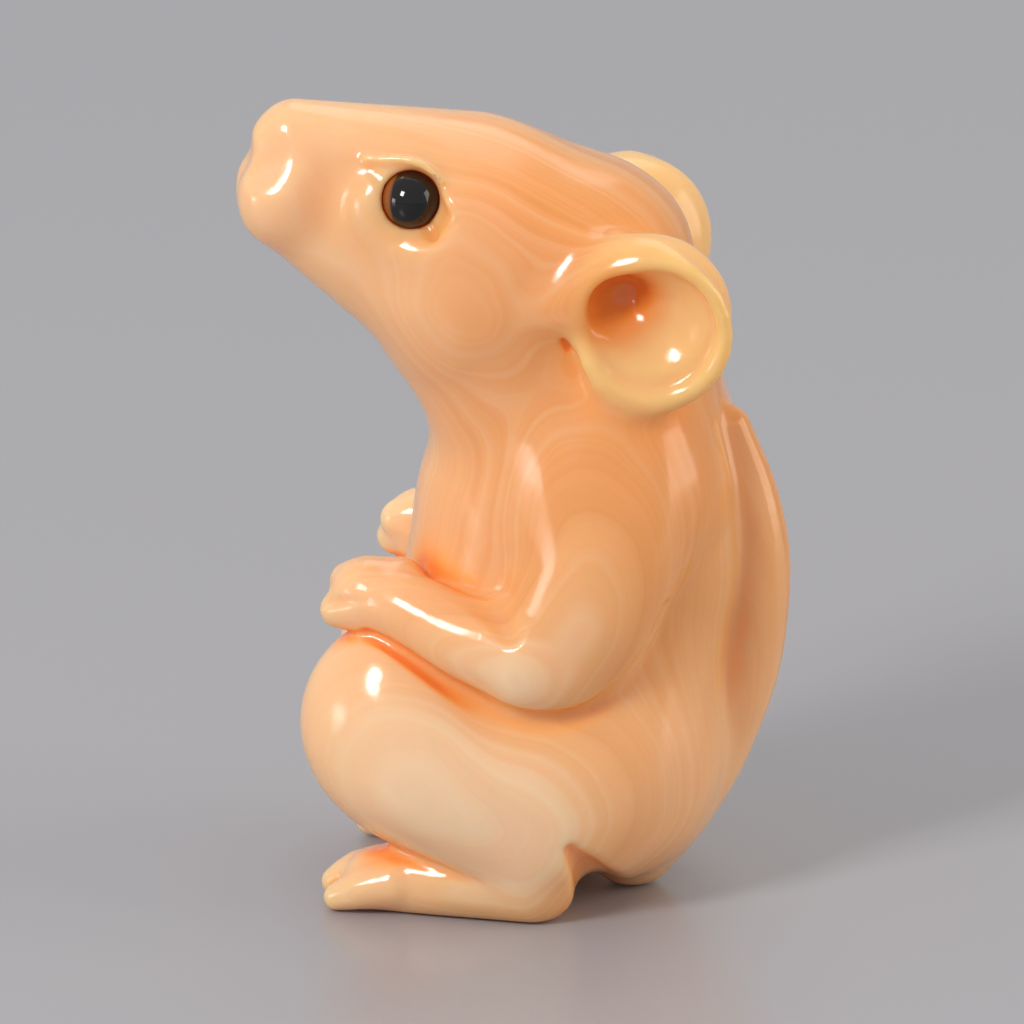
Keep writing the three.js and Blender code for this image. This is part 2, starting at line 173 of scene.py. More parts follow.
@dataclass(frozen=True)
class Limb:
    """Strokes along a smooth curve.

    Attributes:
        stations: X, Y, Z and radius at each point that the curve passes.
        pieces: Strokes from one station to the next.
        far: Distance past which no fillet reaches.
    """

    stations: tuple[tuple[float, float, float, float], ...]
    pieces: int = 4
    far: float = 2.0

    def rings(self) -> Array:
        """Places and radii along the curve, four numbers a row."""
        known = np.array(self.stations)
        known = np.vstack([2 * known[0] - known[1], known, 2 * known[-1] - known[-2]])
        rows = []
        for a, b, c, d in zip(known, known[1:], known[2:], known[3:]):
            for t in np.arange(self.pieces) / self.pieces:
                curve = 2 * b + (c - a) * t + (2 * a - 5 * b + 4 * c - d) * t**2
                rows.append((curve + (3 * b - a - 3 * c + d) * t**3) / 2)
        return np.array([*rows, known[-2]])

    def distance(self, points: Array) -> Array:
        """Signed distance to the limb, or only to its box where that is far away."""
        rings = self.rings()
        low = (rings[:, :3] - rings[:, 3:]).min(0)
        high = (rings[:, :3] + rings[:, 3:]).max(0)
        away = np.linalg.norm(np.maximum(np.maximum(low - points, points - high), 0), axis=1)
        near = away < self.far
        close = points[near]
        nearest = np.full(len(close), np.inf)
        for start, end in zip(rings, rings[1:]):
            nearest = np.minimum(nearest, Stroke(tuple(start), tuple(end)).distance(close))
        away[near] = nearest
        return away


@dataclass(frozen=True)
class Ear:
    """A cupped ear on the left of the head as drawn. Its own axes run out, back and up.

    Attributes:
        centre: Middle of the rim.
        width: Width over the rim.
        height: Height over the rim.
        droop: Degrees that the ear faces down.
        forward: Degrees that it faces forward.
        rim: Radius of the rolled rim at the top, the back and the bottom.
        lobe: The solid part behind the rim.
        brow: Where the head runs on over the top of the ear.
        brow_fillet: Softness of its seam.
        bowl: The wide shallow hollow.
        canal: The deep hollow near the front.
        crest: Where the ear flows into the head, from none of it to all of it, as up minus back.
        root_fillets: Softness of the seam with the head at the lobe and at the crest.
        edge_fillets: Softness of the hollows' edges at the lobe and at the crest.
        rim_steps: Strokes that make the rolled rim.
        rim_sunk: How far the rim sinks into the head at the upper front.
        groove: The groove round the front and the bottom of the lobe.
        groove_fillet: Softness of its edges.
    """

    centre: Place = (5.85, 4.6, 22.7)
    width: float = 5.8
    height: float = 6.2
    droop: float = 9.0
    forward: float = 8.0
    rim: Place = (0.55, 0.36, 0.42)
    lobe: Egg = Egg((-1.35, -0.05, 0.1), (1.9, 2.8, 3.05))
    brow: Egg = Egg((-1.5, -2.5, 0.8), (1.3, 2.4, 1.2), (20.0, 0.0, 0.0))
    brow_fillet: float = 0.9
    bowl: Egg = Egg((1.55, 0.0, 0.45), (2.6, 2.6, 2.65))
    canal: Egg = Egg((-0.3, -1.3, 0.85), (1.6, 0.95, 1.05), (0.0, 0.0, -20.0))
    crest: tuple[float, float] = (0.0, 3.2)
    root_fillets: tuple[float, float] = (0.3, 1.0)
    edge_fillets: tuple[float, float] = (0.7, 0.22)
    rim_steps: int = 24
    rim_sunk: float = 0.95
    groove: Limb = Limb(
        (
            (-0.75, -3.25, -0.5, 0.12),
            (-0.95, -3.05, -1.2, 0.34),
            (-1.05, -2.5, -2.1, 0.42),
            (-1.05, -1.55, -2.95, 0.4),
            (-1.0, 0.1, -3.45, 0.15),
        )
    )
    groove_fillet: float = 0.3

    def hoop(self) -> Limb:
        """The rolled rim, thin at the back and sunk into the head at the upper front."""
        top, back, bottom = self.rim
        stations = []
        for angle in np.linspace(0, 2 * math.pi, self.rim_steps + 1):
            up, rear = math.sin(angle), math.cos(angle)
            thick = back + (top - back) * max(up, 0) + (bottom - back) * max(-up, 0)
            thick += 0.5 * (top - back) * max(-rear, 0) * (1 - abs(up))
            across = (self.width / 2 - thick) * rear
            sunk = self.rim_sunk * min(max(up - rear - 0.2, 0.0), 1.0)
            stations.append((-sunk, across, (self.height / 2 - thick) * up, thick))
        return Limb(tuple(stations), pieces=1, far=4.0)

    def own(self, points: Array) -> Array:
        """Points of the head as drawn, along the ear's own axes."""
        return (points - np.array(self.centre)) @ turning((0.0, self.droop, -self.forward))

    def marks(self, points: Array) -> dict[str, Array]:
        """How much each point of the head as drawn belongs to the ear and to its canal, from 0 to 1."""
        own = self.own(points)
        cup = melt(self.lobe.distance(own), self.hoop().distance(own), 0.5)
        return {
            "ear": ease(cup, -0.1, 0.6, 1, 0),
            "canal": ease(self.canal.distance(own), 0.0, 1.2, 0.8, 0),
        }

    def add(self, distances: Array, points: Array) -> Array:
        """Puts the ear on the head.

        Args:
            distances: Distances to the head so far.
            points: Points in the left half of the head as drawn.

        Returns:
            Distances to the head with its ear.
        """
        own = self.own(points)
        cup = melt(self.lobe.distance(own), self.hoop().distance(own), 0.5)
        at_crest = own[:, 2] - own[:, 1]
        d = melt(distances, cup, ease(at_crest, *self.crest, *self.root_fillets))
        d = melt(d, self.brow.distance(own), self.brow_fillet)
        d = scoop(d, self.groove.distance(own), self.groove_fillet)
        hollow = melt(self.bowl.distance(own), self.canal.distance(own), 0.8)
        return scoop(d, hollow, ease(at_crest, *self.crest, *self.edge_fillets))


@dataclass(frozen=True)
class Head:
    """The head, drawn facing straight ahead and then turned about the neck.

    Attributes:
        turn: Degrees that it looks to its left.
        pivot: Where it turns.
        narrow: How much narrower the snout is than its two round strokes.
        snout_top: The upper stroke of the snout, from the nose to the crown.
        jaw: The lower stroke of the snout.
        snout_hollow: The hollow in the side of the snout, before the eye.
        snout_fillet: Softness of the snout's seams.
        forms: Each form in the order that it is melted on, with its fillet.
        nose_notch: The notch in the tip of the nose.
        notch_fillet: Softness of its edges.
        nose_bevel: The cut beside the tip of the nose.
        bevel_fillet: Softness of its edges.
        ear: The left ear.
    """

    turn: float = 14.0
    pivot: Place = (0.0, 3.0, 22.0)
    narrow: float = 1.05
    snout_top: Stroke = Stroke((0.0, -7.9, 28.5, 1.45), (0.0, -1.7, 25.5, 3.75))
    jaw: Stroke = Stroke((0.0, -8.1, 26.05, 1.7), (0.0, -2.4, 22.65, 2.95))
    snout_hollow: Egg = Egg((4.1, -6.4, 27.0), (1.65, 2.2, 1.5), (-25.0, 0.0, 0.0))
    snout_fillet: float = 1.8
    forms: tuple[tuple[Egg | Stroke, float], ...] = (
        (Egg((0.0, 1.5, 23.8), (4.5, 5.0, 4.0)), 1.8),
        (Egg((0.0, -0.4, 20.5), (3.6, 3.4, 4.2), (20.0, 0.0, 0.0)), 2.0),
        (Egg((1.9, -1.0, 23.4), (2.45, 3.6, 3.0)), 1.6),
        (Egg((2.3, -1.4, 25.75), (1.5, 4.5, 1.75), (-12.0, 0.0, 0.0)), 1.5),
        (Egg((0.85, -8.55, 26.6), (1.1, 1.2, 1.4)), 1.2),
        (Egg((0.0, -8.75, 28.2), (0.75, 0.65, 0.85)), 0.6),
        (Stroke((3.3, 1.4, 25.0, 1.0), (5.0, 4.2, 24.8, 0.75)), 0.9),
    )
    nose_notch: Egg = Egg((0.0, -10.65, 28.2), (1.7, 1.05, 0.95))
    notch_fillet: float = 0.5
    nose_bevel: Egg = Egg((2.3, -9.4, 28.4), (0.9, 0.9, 1.0))
    bevel_fillet: float = 1.0
    ear: Ear = Ear()

    def into(self, points: Array) -> Array:
        """Points of the turned head, as the head was drawn."""
        return (points - np.array(self.pivot)) @ turning((0, 0, self.turn)) + np.array(self.pivot)

    def distance(self, points: Array) -> Array:
        """Signed distance to the turned head."""
        drawn = self.into(points)
        half = drawn.copy()
        half[:, 0] = np.abs(drawn[:, 0])
        slim = half * np.array([self.narrow, 1, 1])
        d = melt(self.snout_top.distance(slim), self.jaw.distance(slim), self.snout_fillet)
        d = scoop(d, self.snout_hollow.distance(half), self.snout_fillet)
        for form, fillet in self.forms:
            d = melt(d, form.distance(half), fillet)
        d = scoop(d, self.nose_notch.distance(half), self.notch_fillet)
        d = scoop(d, self.nose_bevel.distance(half), self.bevel_fillet)
        return self.ear.add(d, half)


@dataclass(frozen=True)
class Lids:
    """The carved lids of an eye, on the head as drawn.

    Attributes:
        ridges: The lids and the rear corner of the eye.
        grooves: The cuts before and behind the eye.
        recess: The flat round the bead.
        recess_fillet: Softness of its edges.
        fillet: Softness of the ridges and grooves.
    """

    ridges: tuple[Limb, ...] = (
        Limb(
            (
                (2.1, -5.5, 28.35, 0.03),
                (2.4, -4.8, 28.4, 0.1),
                (2.65, -4.1, 28.45, 0.12),
                (2.95, -3.4, 28.25, 0.1),
                (3.3, -2.9, 27.75, 0.03),
            )
        ),
        Limb(((3.35, -2.75, 27.3, 0.03), (3.55, -2.5, 27.05, 0.12), (3.8, -2.2, 26.7, 0.03))),
        Limb(((3.0, -4.6, 25.75, 0.02), (3.1, -4.05, 25.55, 0.06), (3.45, -3.45, 25.45, 0.02))),
    )
    grooves: tuple[Limb, ...] = (
        Limb(((2.4, -5.4, 28.0, 0.04), (2.85, -5.0, 27.7, 0.12))),
        Limb(((3.3, -3.3, 26.0, 0.12), (3.6, -3.15, 25.8, 0.05))),
    )
    recess: Egg = Egg((3.55, -4.0, 26.85), (0.5, 1.2, 1.0), (-20.0, 0.0, 0.0))
    recess_fillet: float = 1.0
    fillet: float = 0.35

    def carve(self, distances: Array, half: Array) -> Array:
        """Distances to the head with its eyelids."""
        d = scoop(distances, self.recess.distance(half), self.recess_fillet)
        for ridge in self.ridges:
            d = melt(d, ridge.distance(half), self.fillet)
        for groove in self.grooves:
            d = scoop(d, groove.distance(half), self.fillet)
        return d


@dataclass(frozen=True)
class Trunk:
    """Rump, belly, chest and neck, from the ground up."""

    rump: Egg = Egg((0.0, 3.65, 6.0), (5.6, 4.4, 5.65))
    belly: Egg = Egg((0.0, 0.8, 8.0), (4.8, 5.4, 6.0))
    chest: Egg = Egg((0.0, 2.5, 13.4), (5.1, 6.2, 7.6))
    neck: Egg = Egg((0.0, 2.4, 19.5), (4.5, 5.0, 5.0))
    rump_fillet: float = 1.5
    chest_fillet: float = 2.0
    neck_fillet: float = 1.5

    def distance(self, half: Array) -> Array:
        """Signed distance to the trunk."""
        d = melt(self.rump.distance(half), self.belly.distance(half), self.rump_fillet)
        d = melt(d, self.chest.distance(half), self.chest_fillet)
        return melt(d, self.neck.distance(half), self.neck_fillet)


@dataclass(frozen=True)
class Leg:
    """A folded hind leg, its long foot flat on the ground, and the crease behind the heel."""

    thigh: Egg = Egg((3.95, -1.3, 5.45), (3.0, 5.5, 3.3), (-25.0, 0.0, 0.0))
    knee: Egg = Egg((3.9, -3.6, 7.0), (2.6, 3.4, 3.95))
    shin: Stroke = Stroke((4.1, -2.6, 5.4, 2.6), (4.5, 1.3, 2.7, 2.0))
    foot: Limb = Limb(((4.4, 1.4, 1.4, 1.65), (4.3, -2.0, 1.25, 1.45), (4.2, -4.4, 1.0, 1.15)))
    toes: tuple[Limb, ...] = (
        Limb(((3.5, -3.8, 1.35, 0.85), (3.45, -5.1, 1.05, 0.76), (3.5, -5.95, 0.62, 0.55)), 2),
        Limb(((4.9, -3.6, 1.15, 0.85), (4.95, -4.8, 0.85, 0.72), (4.95, -5.65, 0.52, 0.5)), 2),
    )
    heel_crease: Limb = Limb(
        (
            (6.1, 3.1, 3.2, 0.08),
            (5.9, 3.3, 2.8, 0.22),
            (5.3, 3.6, 2.1, 0.5),
            (4.0, 3.8, 0.9, 0.85),
            (2.4, 3.4, 0.0, 1.1),
            (0.0, 2.9, -0.5, 1.0),
        )
    )
    ankle_crease: Limb = Limb(((4.8, -4.2, 2.6, 0.2), (5.65, -2.2, 2.15, 0.18), (6.05, -0.3, 1.65, 0.06)))
    knee_fillet: float = 1.5
    shin_fillet: float = 1.2
    foot_fillet: float = 0.5
    toe_fillet: float = 0.25
    heel_fillet: float = 0.5
    front_edge: float = 0.6
    hip_edge: float = 3.0
    hip: tuple[float, float] = (-3.0, 3.0)

    def add(self, distances: Array, half: Array) -> Array:
        """Puts both legs on the trunk."""
        leg = melt(self.thigh.distance(half), self.knee.distance(half), self.knee_fillet)
        leg = melt(leg, self.shin.distance(half), self.shin_fillet)
        fillet = ease(half[:, 1], *self.hip, self.front_edge, self.hip_edge)
        d = melt(distances, leg, fillet)
        foot = self.foot.distance(half)
        for toe in self.toes:
            foot = melt(foot, toe.distance(half), self.toe_fillet)
        d = melt(d, foot, self.foot_fillet)
        d = scoop(d, self.ankle_crease.distance(half), self.toe_fillet)
        return scoop(d, self.heel_crease.distance(half), self.heel_fillet)


@dataclass(frozen=True)
class Arm:
    """An arm bent at the elbow, its hand held out over the knee."""

    upper: Egg = Egg((4.5, 3.3, 11.9), (2.35, 2.75, 4.6), (-24.0, 0.0, 0.0))
    shoulder: Egg = Egg((3.1, 4.1, 15.8), (2.65, 3.2, 3.9))
    elbow: Egg = Egg((4.6, 1.9, 10.0), (1.95, 2.3, 2.3))
    forearm: Limb = Limb(
        ((5.0, 1.2, 10.1, 1.95), (5.0, -1.2, 10.75, 1.5), (4.5, -3.2, 11.55, 1.3), (4.0, -4.6, 11.8, 1.15))
    )
    fingers: tuple[Limb, ...] = (
        Limb(((3.7, -3.6, 12.2, 0.95), (3.55, -4.8, 12.2, 0.85), (3.45, -5.5, 12.1, 0.68)), 2),
        Limb(((4.35, -3.7, 11.35, 0.95), (4.25, -5.0, 11.3, 0.85), (4.15, -5.75, 11.2, 0.68)), 2),
    )
    inner_crease: Limb = Limb(
        ((4.4, -2.4, 13.3, 0.3), (5.3, -1.0, 13.0, 0.55), (6.1, 0.2, 12.3, 0.6), (6.75, 0.95, 11.4, 0.32))
    )
    under_crease: Limb = Limb(
        (
            (5.0, -4.5, 10.65, 0.12),
            (5.5, -2.9, 9.95, 0.22),
            (5.75, -1.4, 9.1, 0.28),
            (6.15, 0.5, 8.35, 0.32),
            (6.1, 2.2, 8.05, 0.36),
            (5.75, 3.7, 8.3, 0.36),
            (5.5, 4.9, 9.2, 0.3),
            (5.1, 5.9, 10.6, 0.2),
            (4.8, 6.4, 12.2, 0.1),
        ),
        3,
    )
    palm: Egg = Egg((3.95, -4.8, 11.75), (1.15, 1.2, 1.3))
    finger_crease: Limb = Limb(((4.5, -6.3, 11.65, 0.14), (5.1, -5.3, 11.85, 0.1), (5.45, -4.5, 12.0, 0.04)))
    crease_fillet: float = 0.35
    right_hand_back: float = 0.6
    right_hand_up: float = 0.2
    reach: tuple[float, float] = (-5.0, 1.0)
    shoulder_fillet: float = 2.0
    elbow_fillet: float = 0.7
    finger_fillet: float = 0.35
    low_edge: float = 0.25
    high_edge: float = 2.3
    edge_heights: tuple[float, float] = (11.5, 17.0)

    def add(self, distances: Array, half: Array, right: Array) -> Array:
        """Puts both arms on the trunk.

        Args:
            distances: Distances to the trunk, head and legs.
            half: Points mirrored to the left side.
            right: True for each point that was on the right side.

        Returns:
            Distances to the carving with its arms.
        """
        drawn = np.where(right, ease(half[:, 1], *self.reach, 1, 0), 0)
        shift = np.outer(drawn, (0, self.right_hand_back, self.right_hand_up))
        held = half - shift
        arm = melt(self.upper.distance(half), self.shoulder.distance(half), self.shoulder_fillet)
        arm = melt(arm, self.elbow.distance(half), self.elbow_fillet)
        hand = self.forearm.distance(held)
        for finger in self.fingers:
            hand = melt(hand, finger.distance(held), self.finger_fillet)
        hand = melt(hand, self.palm.distance(held), self.finger_fillet)
        hand = scoop(hand, self.finger_crease.distance(held), self.low_edge)
        arm = melt(arm, hand, self.elbow_fillet)
        edge = ease(half[:, 2], *self.edge_heights, self.low_edge, self.high_edge)
        d = melt(distances, arm, edge)
        for crease in (self.inner_crease, self.under_crease):
            d = scoop(d, crease.distance(half), self.crease_fillet)
        return d


@dataclass(frozen=True)
class Tail:
    """The tail, which lies up the middle of the back."""

    curve: Limb = Limb(
        (
            (-0.2, 4.3, 1.5, 1.6),
            (-0.4, 5.6, 3.2, 1.5),
            (-0.5, 7.0, 5.0, 1.4),
            (-0.3, 8.35, 8.2, 1.25),
            (0.0, 8.95, 11.5, 1.15),
            (0.0, 8.75, 14.5, 1.05),
            (0.0, 7.9, 17.6, 0.75),
        )
    )
    fillet: float = 0.6

    def add(self, distances: Array, points: Array) -> Array:
        """Lays the tail on the back."""
        return melt(distances, self.curve.distance(points), self.fillet)


@dataclass(frozen=True)
class Block:
    """The block that the carving is cut from.

    Attributes:
        low: Its lowest corner.
        high: Its highest corner.
        spacing: Width of the facets.
        tile: Grid points along one side of the tiles that are looked at first.
        band: Distance within which a tile is cut finely.
        rounds: How often the facets are evened out.
    """

    low: Place = (-8.2, -10.8, -0.5)
    high: Place = (8.2, 10.8, 31.0)
    spacing: float = 0.156
    tile: int = 4
    band: float = 1.0
    rounds: int = 3

    def values(self, field: Field) -> tuple[Array, list[Array]]:
        """Distances on the grid, true near the surface and of the right sign elsewhere.

        Args:
            field: Gives the distance at each point.

        Returns:
            The distances, and the grid's lines along each axis.
        """
        counts = []
        for low, high in zip(self.low, self.high):
            counts.append(math.ceil((high - low) / self.spacing / self.tile))
        corner = np.stack(np.meshgrid(*[np.arange(n) for n in counts], indexing="ij"), -1)
        corner = corner.reshape(-1, 3) * self.tile
        low = np.array(self.low)
        rough = field(low + (corner + (self.tile - 1) / 2) * self.spacing)
        shape = [n * self.tile for n in counts]
        near = np.abs(rough) < self.band
        step = np.stack(np.meshgrid(*[np.arange(self.tile)] * 3, indexing="ij"), -1).reshape(-1, 3)
        fine = (corner[near][:, None] + step).reshape(-1, 3)
        full = rough.reshape(counts)
        for axis in range(3):
            full = full.repeat(self.tile, axis)
        values = full.reshape(shape)
        values[tuple(fine.T)] = field(low + fine * self.spacing)
        lines = [low[axis] + np.arange(shape[axis]) * self.spacing for axis in range(3)]
        return values, lines

    def cut(self, field: Field) -> tuple[Array, Array]:
        """Cuts the surface where the field is zero.

        Args:
            field: Gives the distance at each point.

        Returns:
            The corners, and the four corners of each face, which faces outwards.
        """
        values, lines = self.values(field)
        inside = values < 0
        cells = np.zeros([n - 1 for n in values.shape], np.int8)
        corners = [(i, j, k) for i in (0, 1) for j in (0, 1) for k in (0, 1)]
        for i, j, k in corners:
            cells += inside[i:, j:, k:][: cells.shape[0], : cells.shape[1], : cells.shape[2]]
        active = np.argwhere((cells > 0) & (cells < 8))
        number = np.full(cells.shape, -1, np.int64)
        number[tuple(active.T)] = np.arange(len(active))
        total = np.zeros((len(active), 3))
        count = np.zeros(len(active))
        for first in corners:
            for axis in range(3):
                if first[axis]:
                    continue
                a = active + first
                b = a + np.eye(3, dtype=int)[axis]
                va, vb = values[tuple(a.T)], values[tuple(b.T)]
                crossed = (va < 0) != (vb < 0)
                share = np.where(crossed, va / np.where(crossed, va - vb, 1), 0)
                total += np.where(crossed[:, None], a + (b - a) * share[:, None], 0)
                count += crossed
        places = np.array([line[0] for line in lines]) + total / count[:, None] * self.spacing
        faces = []
        for axis in range(3):
            one, two = (axis + 1) % 3, (axis + 2) % 3
            step, right, up = np.eye(3, dtype=int)[[axis, one, two]]
            end = [slice(None)] * 3
            end[axis] = slice(1, None)
            start = [slice(None)] * 3
            start[axis] = slice(None, -1)
            edges = np.argwhere(inside[tuple(start)] != inside[tuple(end)])
            leaves = inside[tuple(edges.T)]
            ring = [edges - right - up, edges - up, edges, edges - right]
            quad = np.stack([number[tuple(c.T)] for c in ring], 1)
            faces.append(np.where(leaves[:, None], quad, quad[:, ::-1]))
        return places, np.vstack(faces)

    def carve(self, field: Field) -> tuple[Array, Array]:
        """Cuts the surface and evens its facets out, keeping every corner on it."""
        places, faces = self.cut(field)
        ends = np.vstack([faces[:, [n, (n + 1) % 4]] for n in range(4)])
        reach = np.bincount(ends[:, 0], minlength=len(places))[:, None]
        for _ in range(self.rounds):
            middle = np.zeros_like(places)
            for axis in range(3):
                pull = places[ends[:, 1], axis]
                middle[:, axis] = np.bincount(ends[:, 0], pull, minlength=len(places))
            places = onto(field, (places + middle / reach) / 2, self.spacing)
        return onto(field, places, self.spacing), faces


def in_parts(field: Field, part: int = 40000) -> Field:
    """Works a field out in parts, several at a time, which is quicker and gives the same values."""

    def whole(points: Array) -> Array:
        parts = [points[n : n + part] for n in range(0, len(points), part)]
        with ThreadPoolExecutor() as pool:
            return np.concatenate(list(pool.map(field, parts)))

    return whole


def slope(field: Field, points: Array, step: float = 0.02) -> tuple[Array, Array]:
    """The field and its slope at each point.

    Args:
        field: Gives the distance at each point.
        points: Where to look.
        step: How far apart the field is felt.

    Returns:
        The distances, and the slope along X, Y and Z.
    """
    here = field(points)
    away = [(field(points + step * axis) - here) / step for axis in np.eye(3)]
    return here, np.stack(away, 1)


def onto(field: Field, points: Array, furthest: float) -> Array:
    """Moves points onto the field's surface, each at most the furthest."""
    here, along = slope(field, points)
    size2 = np.maximum((along**2).sum(1), 0.3)
    move = np.clip(here / size2, -furthest, furthest)
    return points - along * move[:, None]


@dataclass(frozen=True)
class Ripple:
    """The slight waviness that hand polishing leaves.

    Attributes:
        height: Most that it raises or sinks the surface.
        lengths: Shortest and longest wave.
        waves: How many waves are laid over each other.
        seed: Sets their directions.
    """

    height: float = 0.015
    lengths: tuple[float, float] = (2.2, 5.0)
    waves: int = 14
    seed: int = 7

    def at(self, points: Array) -> Array:
        """Height of the ripple at each point."""
        draw = np.random.default_rng(self.seed)
        total = np.zeros(len(points))
        for _ in range(self.waves):
            aim = draw.normal(size=3)
            aim /= np.linalg.norm(aim)
            length = draw.uniform(*self.lengths)
            phase = draw.uniform(0, 2 * math.pi)
            total += np.sin(points @ aim * (2 * math.pi / length) + phase)
        return total * self.height / math.sqrt(self.waves)


@dataclass(frozen=True)
class EyeBead:
    """A black bead in its socket.

    Attributes:
        side: The side of the head.
        clearance: Room all round it in its socket.
        rings: Rings of faces from end to end.
        facing: Out, back and up on the head as drawn, away from the bead's front edge, where a painted
            reflection of the shell and painted shade of the socket lie.
        outward: Out, back and up on the head as drawn, where the socket opens.
        opening: Radius of the socket's mouth, as a share of the bead's.
    """

    side: Side
    clearance: float = 0.04
    rings: int = 48
    facing: Place = (0.45, 0.85, 0.05)
    outward: Place = (0.95, -0.07, 0.3)
    opening: float = 0.9

    def aim(self, drawn: Place, turn: float) -> Array:
        """A direction on the head as drawn, on this side of the turned head."""
        out, back, up = drawn
        aimed = np.array((out * self.side.value, back, up)) @ turning((0.0, 0.0, turn)).T
        return aimed / np.linalg.norm(aimed)

    @property
    def node(self) -> str:
        """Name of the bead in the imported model."""
        return "eye_left" if self.side is Side.LEFT else "eye_right"

    def place(self) -> tuple[Array, float]:
        """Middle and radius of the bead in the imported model, in millimetres."""
        low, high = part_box(self.node)
        return np.array((low + high) / 2) / MM, max(high - low) / 2 / MM

    def carve_socket(self, distances: Array, points: Array, turn: float) -> Array:
        """Distances to the carving with a round socket for the bead, open to the outside."""
        middle, radius = self.place()
        outward = self.aim(self.outward, turn)
        narrow = self.opening * radius
        opening = Stroke((*middle, narrow), (*(middle + outward * 2 * radius), narrow * 1.4))
        d = scoop(distances, opening.distance(points), 0.15)
        hollow = np.linalg.norm(points - middle, axis=1) - radius - self.clearance
        return scoop(d, hollow, 0.08)

    def build(self, finish: "Finish", turn: float) -> bpy.types.Object:
        """Makes the bead as one smooth closed ball.

        Args:
            finish: The bead's finish.
            turn: Degrees that the head is turned.

        Returns:
            The bead, with how far back each of its corners lies as "backward", from -1 to 1.
        """
        middle, radius = self.place()
        angles = np.linspace(0, math.pi, self.rings + 1)[1:-1]
        turns = np.linspace(0, 2 * math.pi, 2 * self.rings, endpoint=False)
        a, t = np.meshgrid(angles, turns, indexing="ij")
        ball = np.stack([np.sin(a) * np.cos(t), np.sin(a) * np.sin(t), np.cos(a)], -1)
        rows = ball.reshape(-1, 3)
        places = np.vstack([rows, [(0, 0, 1), (0, 0, -1)]]) * radius + middle
        across = len(turns)
        faces = []
        for i in range(len(angles) - 1):
            for j in range(across):
                k = (j + 1) % across
                above, below = i * across, (i + 1) * across
                faces.append((above + j, below + j, below + k, above + k))
        top, bottom, last = len(rows), len(rows) + 1, (len(angles) - 1) * across
        for j in range(across):
            k = (j + 1) % across
            faces.append((top, j, k))
            faces.append((bottom, last + k, last + j))
        bead = new_piece(f"{self.node}_bead", places, faces, finish)
        backward = (places - middle) @ self.aim(self.facing, turn) / radius
        bead.data.attributes.new("backward", "FLOAT", "POINT").data.foreach_set("value", backward)
        return bead


@dataclass(frozen=True)
class Carving:
    """The whole rat: the forms and how they are joined."""

    head: Head = Head()
    lids: Lids = Lids()
    trunk: Trunk = Trunk()
    leg: Leg = Leg()
    arm: Arm = Arm()
    tail: Tail = Tail()
    ripple: Ripple = Ripple()
    eyes: tuple[EyeBead, ...] = (EyeBead(Side.LEFT), EyeBead(Side.RIGHT))
    block: Block = Block()
    sole_edge: float = 0.2

    def distance(self, points: Array) -> Array:
        """Signed distance to the carving."""
        half = points.copy()
        half[:, 0] = np.abs(points[:, 0])
        drawn = self.head.into(points)
        drawn[:, 0] = np.abs(drawn[:, 0])
        head = self.lids.carve(self.head.distance(points), drawn)
        d = melt(self.trunk.distance(half), head, self.trunk.neck_fillet)
        d = self.leg.add(d, half)
        d = self.arm.add(d, half, points[:, 0] < 0)
        d = self.tail.add(d, points) + self.ripple.at(points)
        for eye in self.eyes:
            d = eye.carve_socket(d, points, self.head.turn)
        return scoop(d, points[:, 2], self.sole_edge)

    def hollows(self, places: Array) -> Array:
        """How enclosed each place on the surface is, from 0 in the open to 1 in a deep crease."""
        field = in_parts(self.distance)
        _, along = slope(field, places)
        out = along / np.maximum(np.linalg.norm(along, axis=1, keepdims=True), 1e-6)
        total = np.zeros(len(places))
        for reach in (0.4, 0.9, 1.8):
            total += (reach - field(places + out * reach)) / reach / 3
        return np.clip(total, 0, 1)

    def build(self, finish: "Finish") -> bpy.types.Object:
        """Makes the carving as one closed mesh."""
        places, faces = self.block.carve(in_parts(self.distance))
        body = new_piece("rat_carving", places, faces, finish)
        drawn = self.head.into(places)
        drawn[:, 0] = np.abs(drawn[:, 0])
        # The hollow mark drives the painted shade and glow of the creases; the canal mark drives the painted
        # shade of the ear canal.
        marks = {"hollow": self.hollows(places), **self.head.ear.marks(drawn)}
        for name, values in marks.items():
            mark = body.data.attributes.new(name, "FLOAT", "POINT")
            mark.data.foreach_set("value", values.astype(np.float32))
        return body


def new_piece(name: str, places: Array, faces: Array | list, finish: "Finish") -> bpy.types.Object:
    """Makes a smooth-shaded object at the origin.

    Args:
        name: Name of the object.
        places: Its corners, in millimetres.
        faces: Corners of each face.
        finish: What it is finished in.

    Returns:
        The object, linked to the scene.
    """
    mesh = bpy.data.meshes.new(name)
    rows = faces.tolist() if isinstance(faces, np.ndarray) else faces
    mesh.from_pydata((places * MM).tolist(), [], rows)
    mesh.shade_smooth()
    mesh.materials.append(finish.material())
    piece = bpy.data.objects.new(name, mesh)
    bpy.context.scene.collection.objects.link(piece)
    return piece


def linear(hex_colour: str) -> tuple[float, float, float, float]:
    """Turns an sRGB hex colour, such as "#F0A060", to linear RGBA."""
    values = [int(hex_colour[n : n + 2], 16) / 255 for n in (1, 3, 5)]
    curve = [v / 12.92 if v <= 0.04045 else ((v + 0.055) / 1.055) ** 2.4 for v in values]
    return (*curve, 1.0)


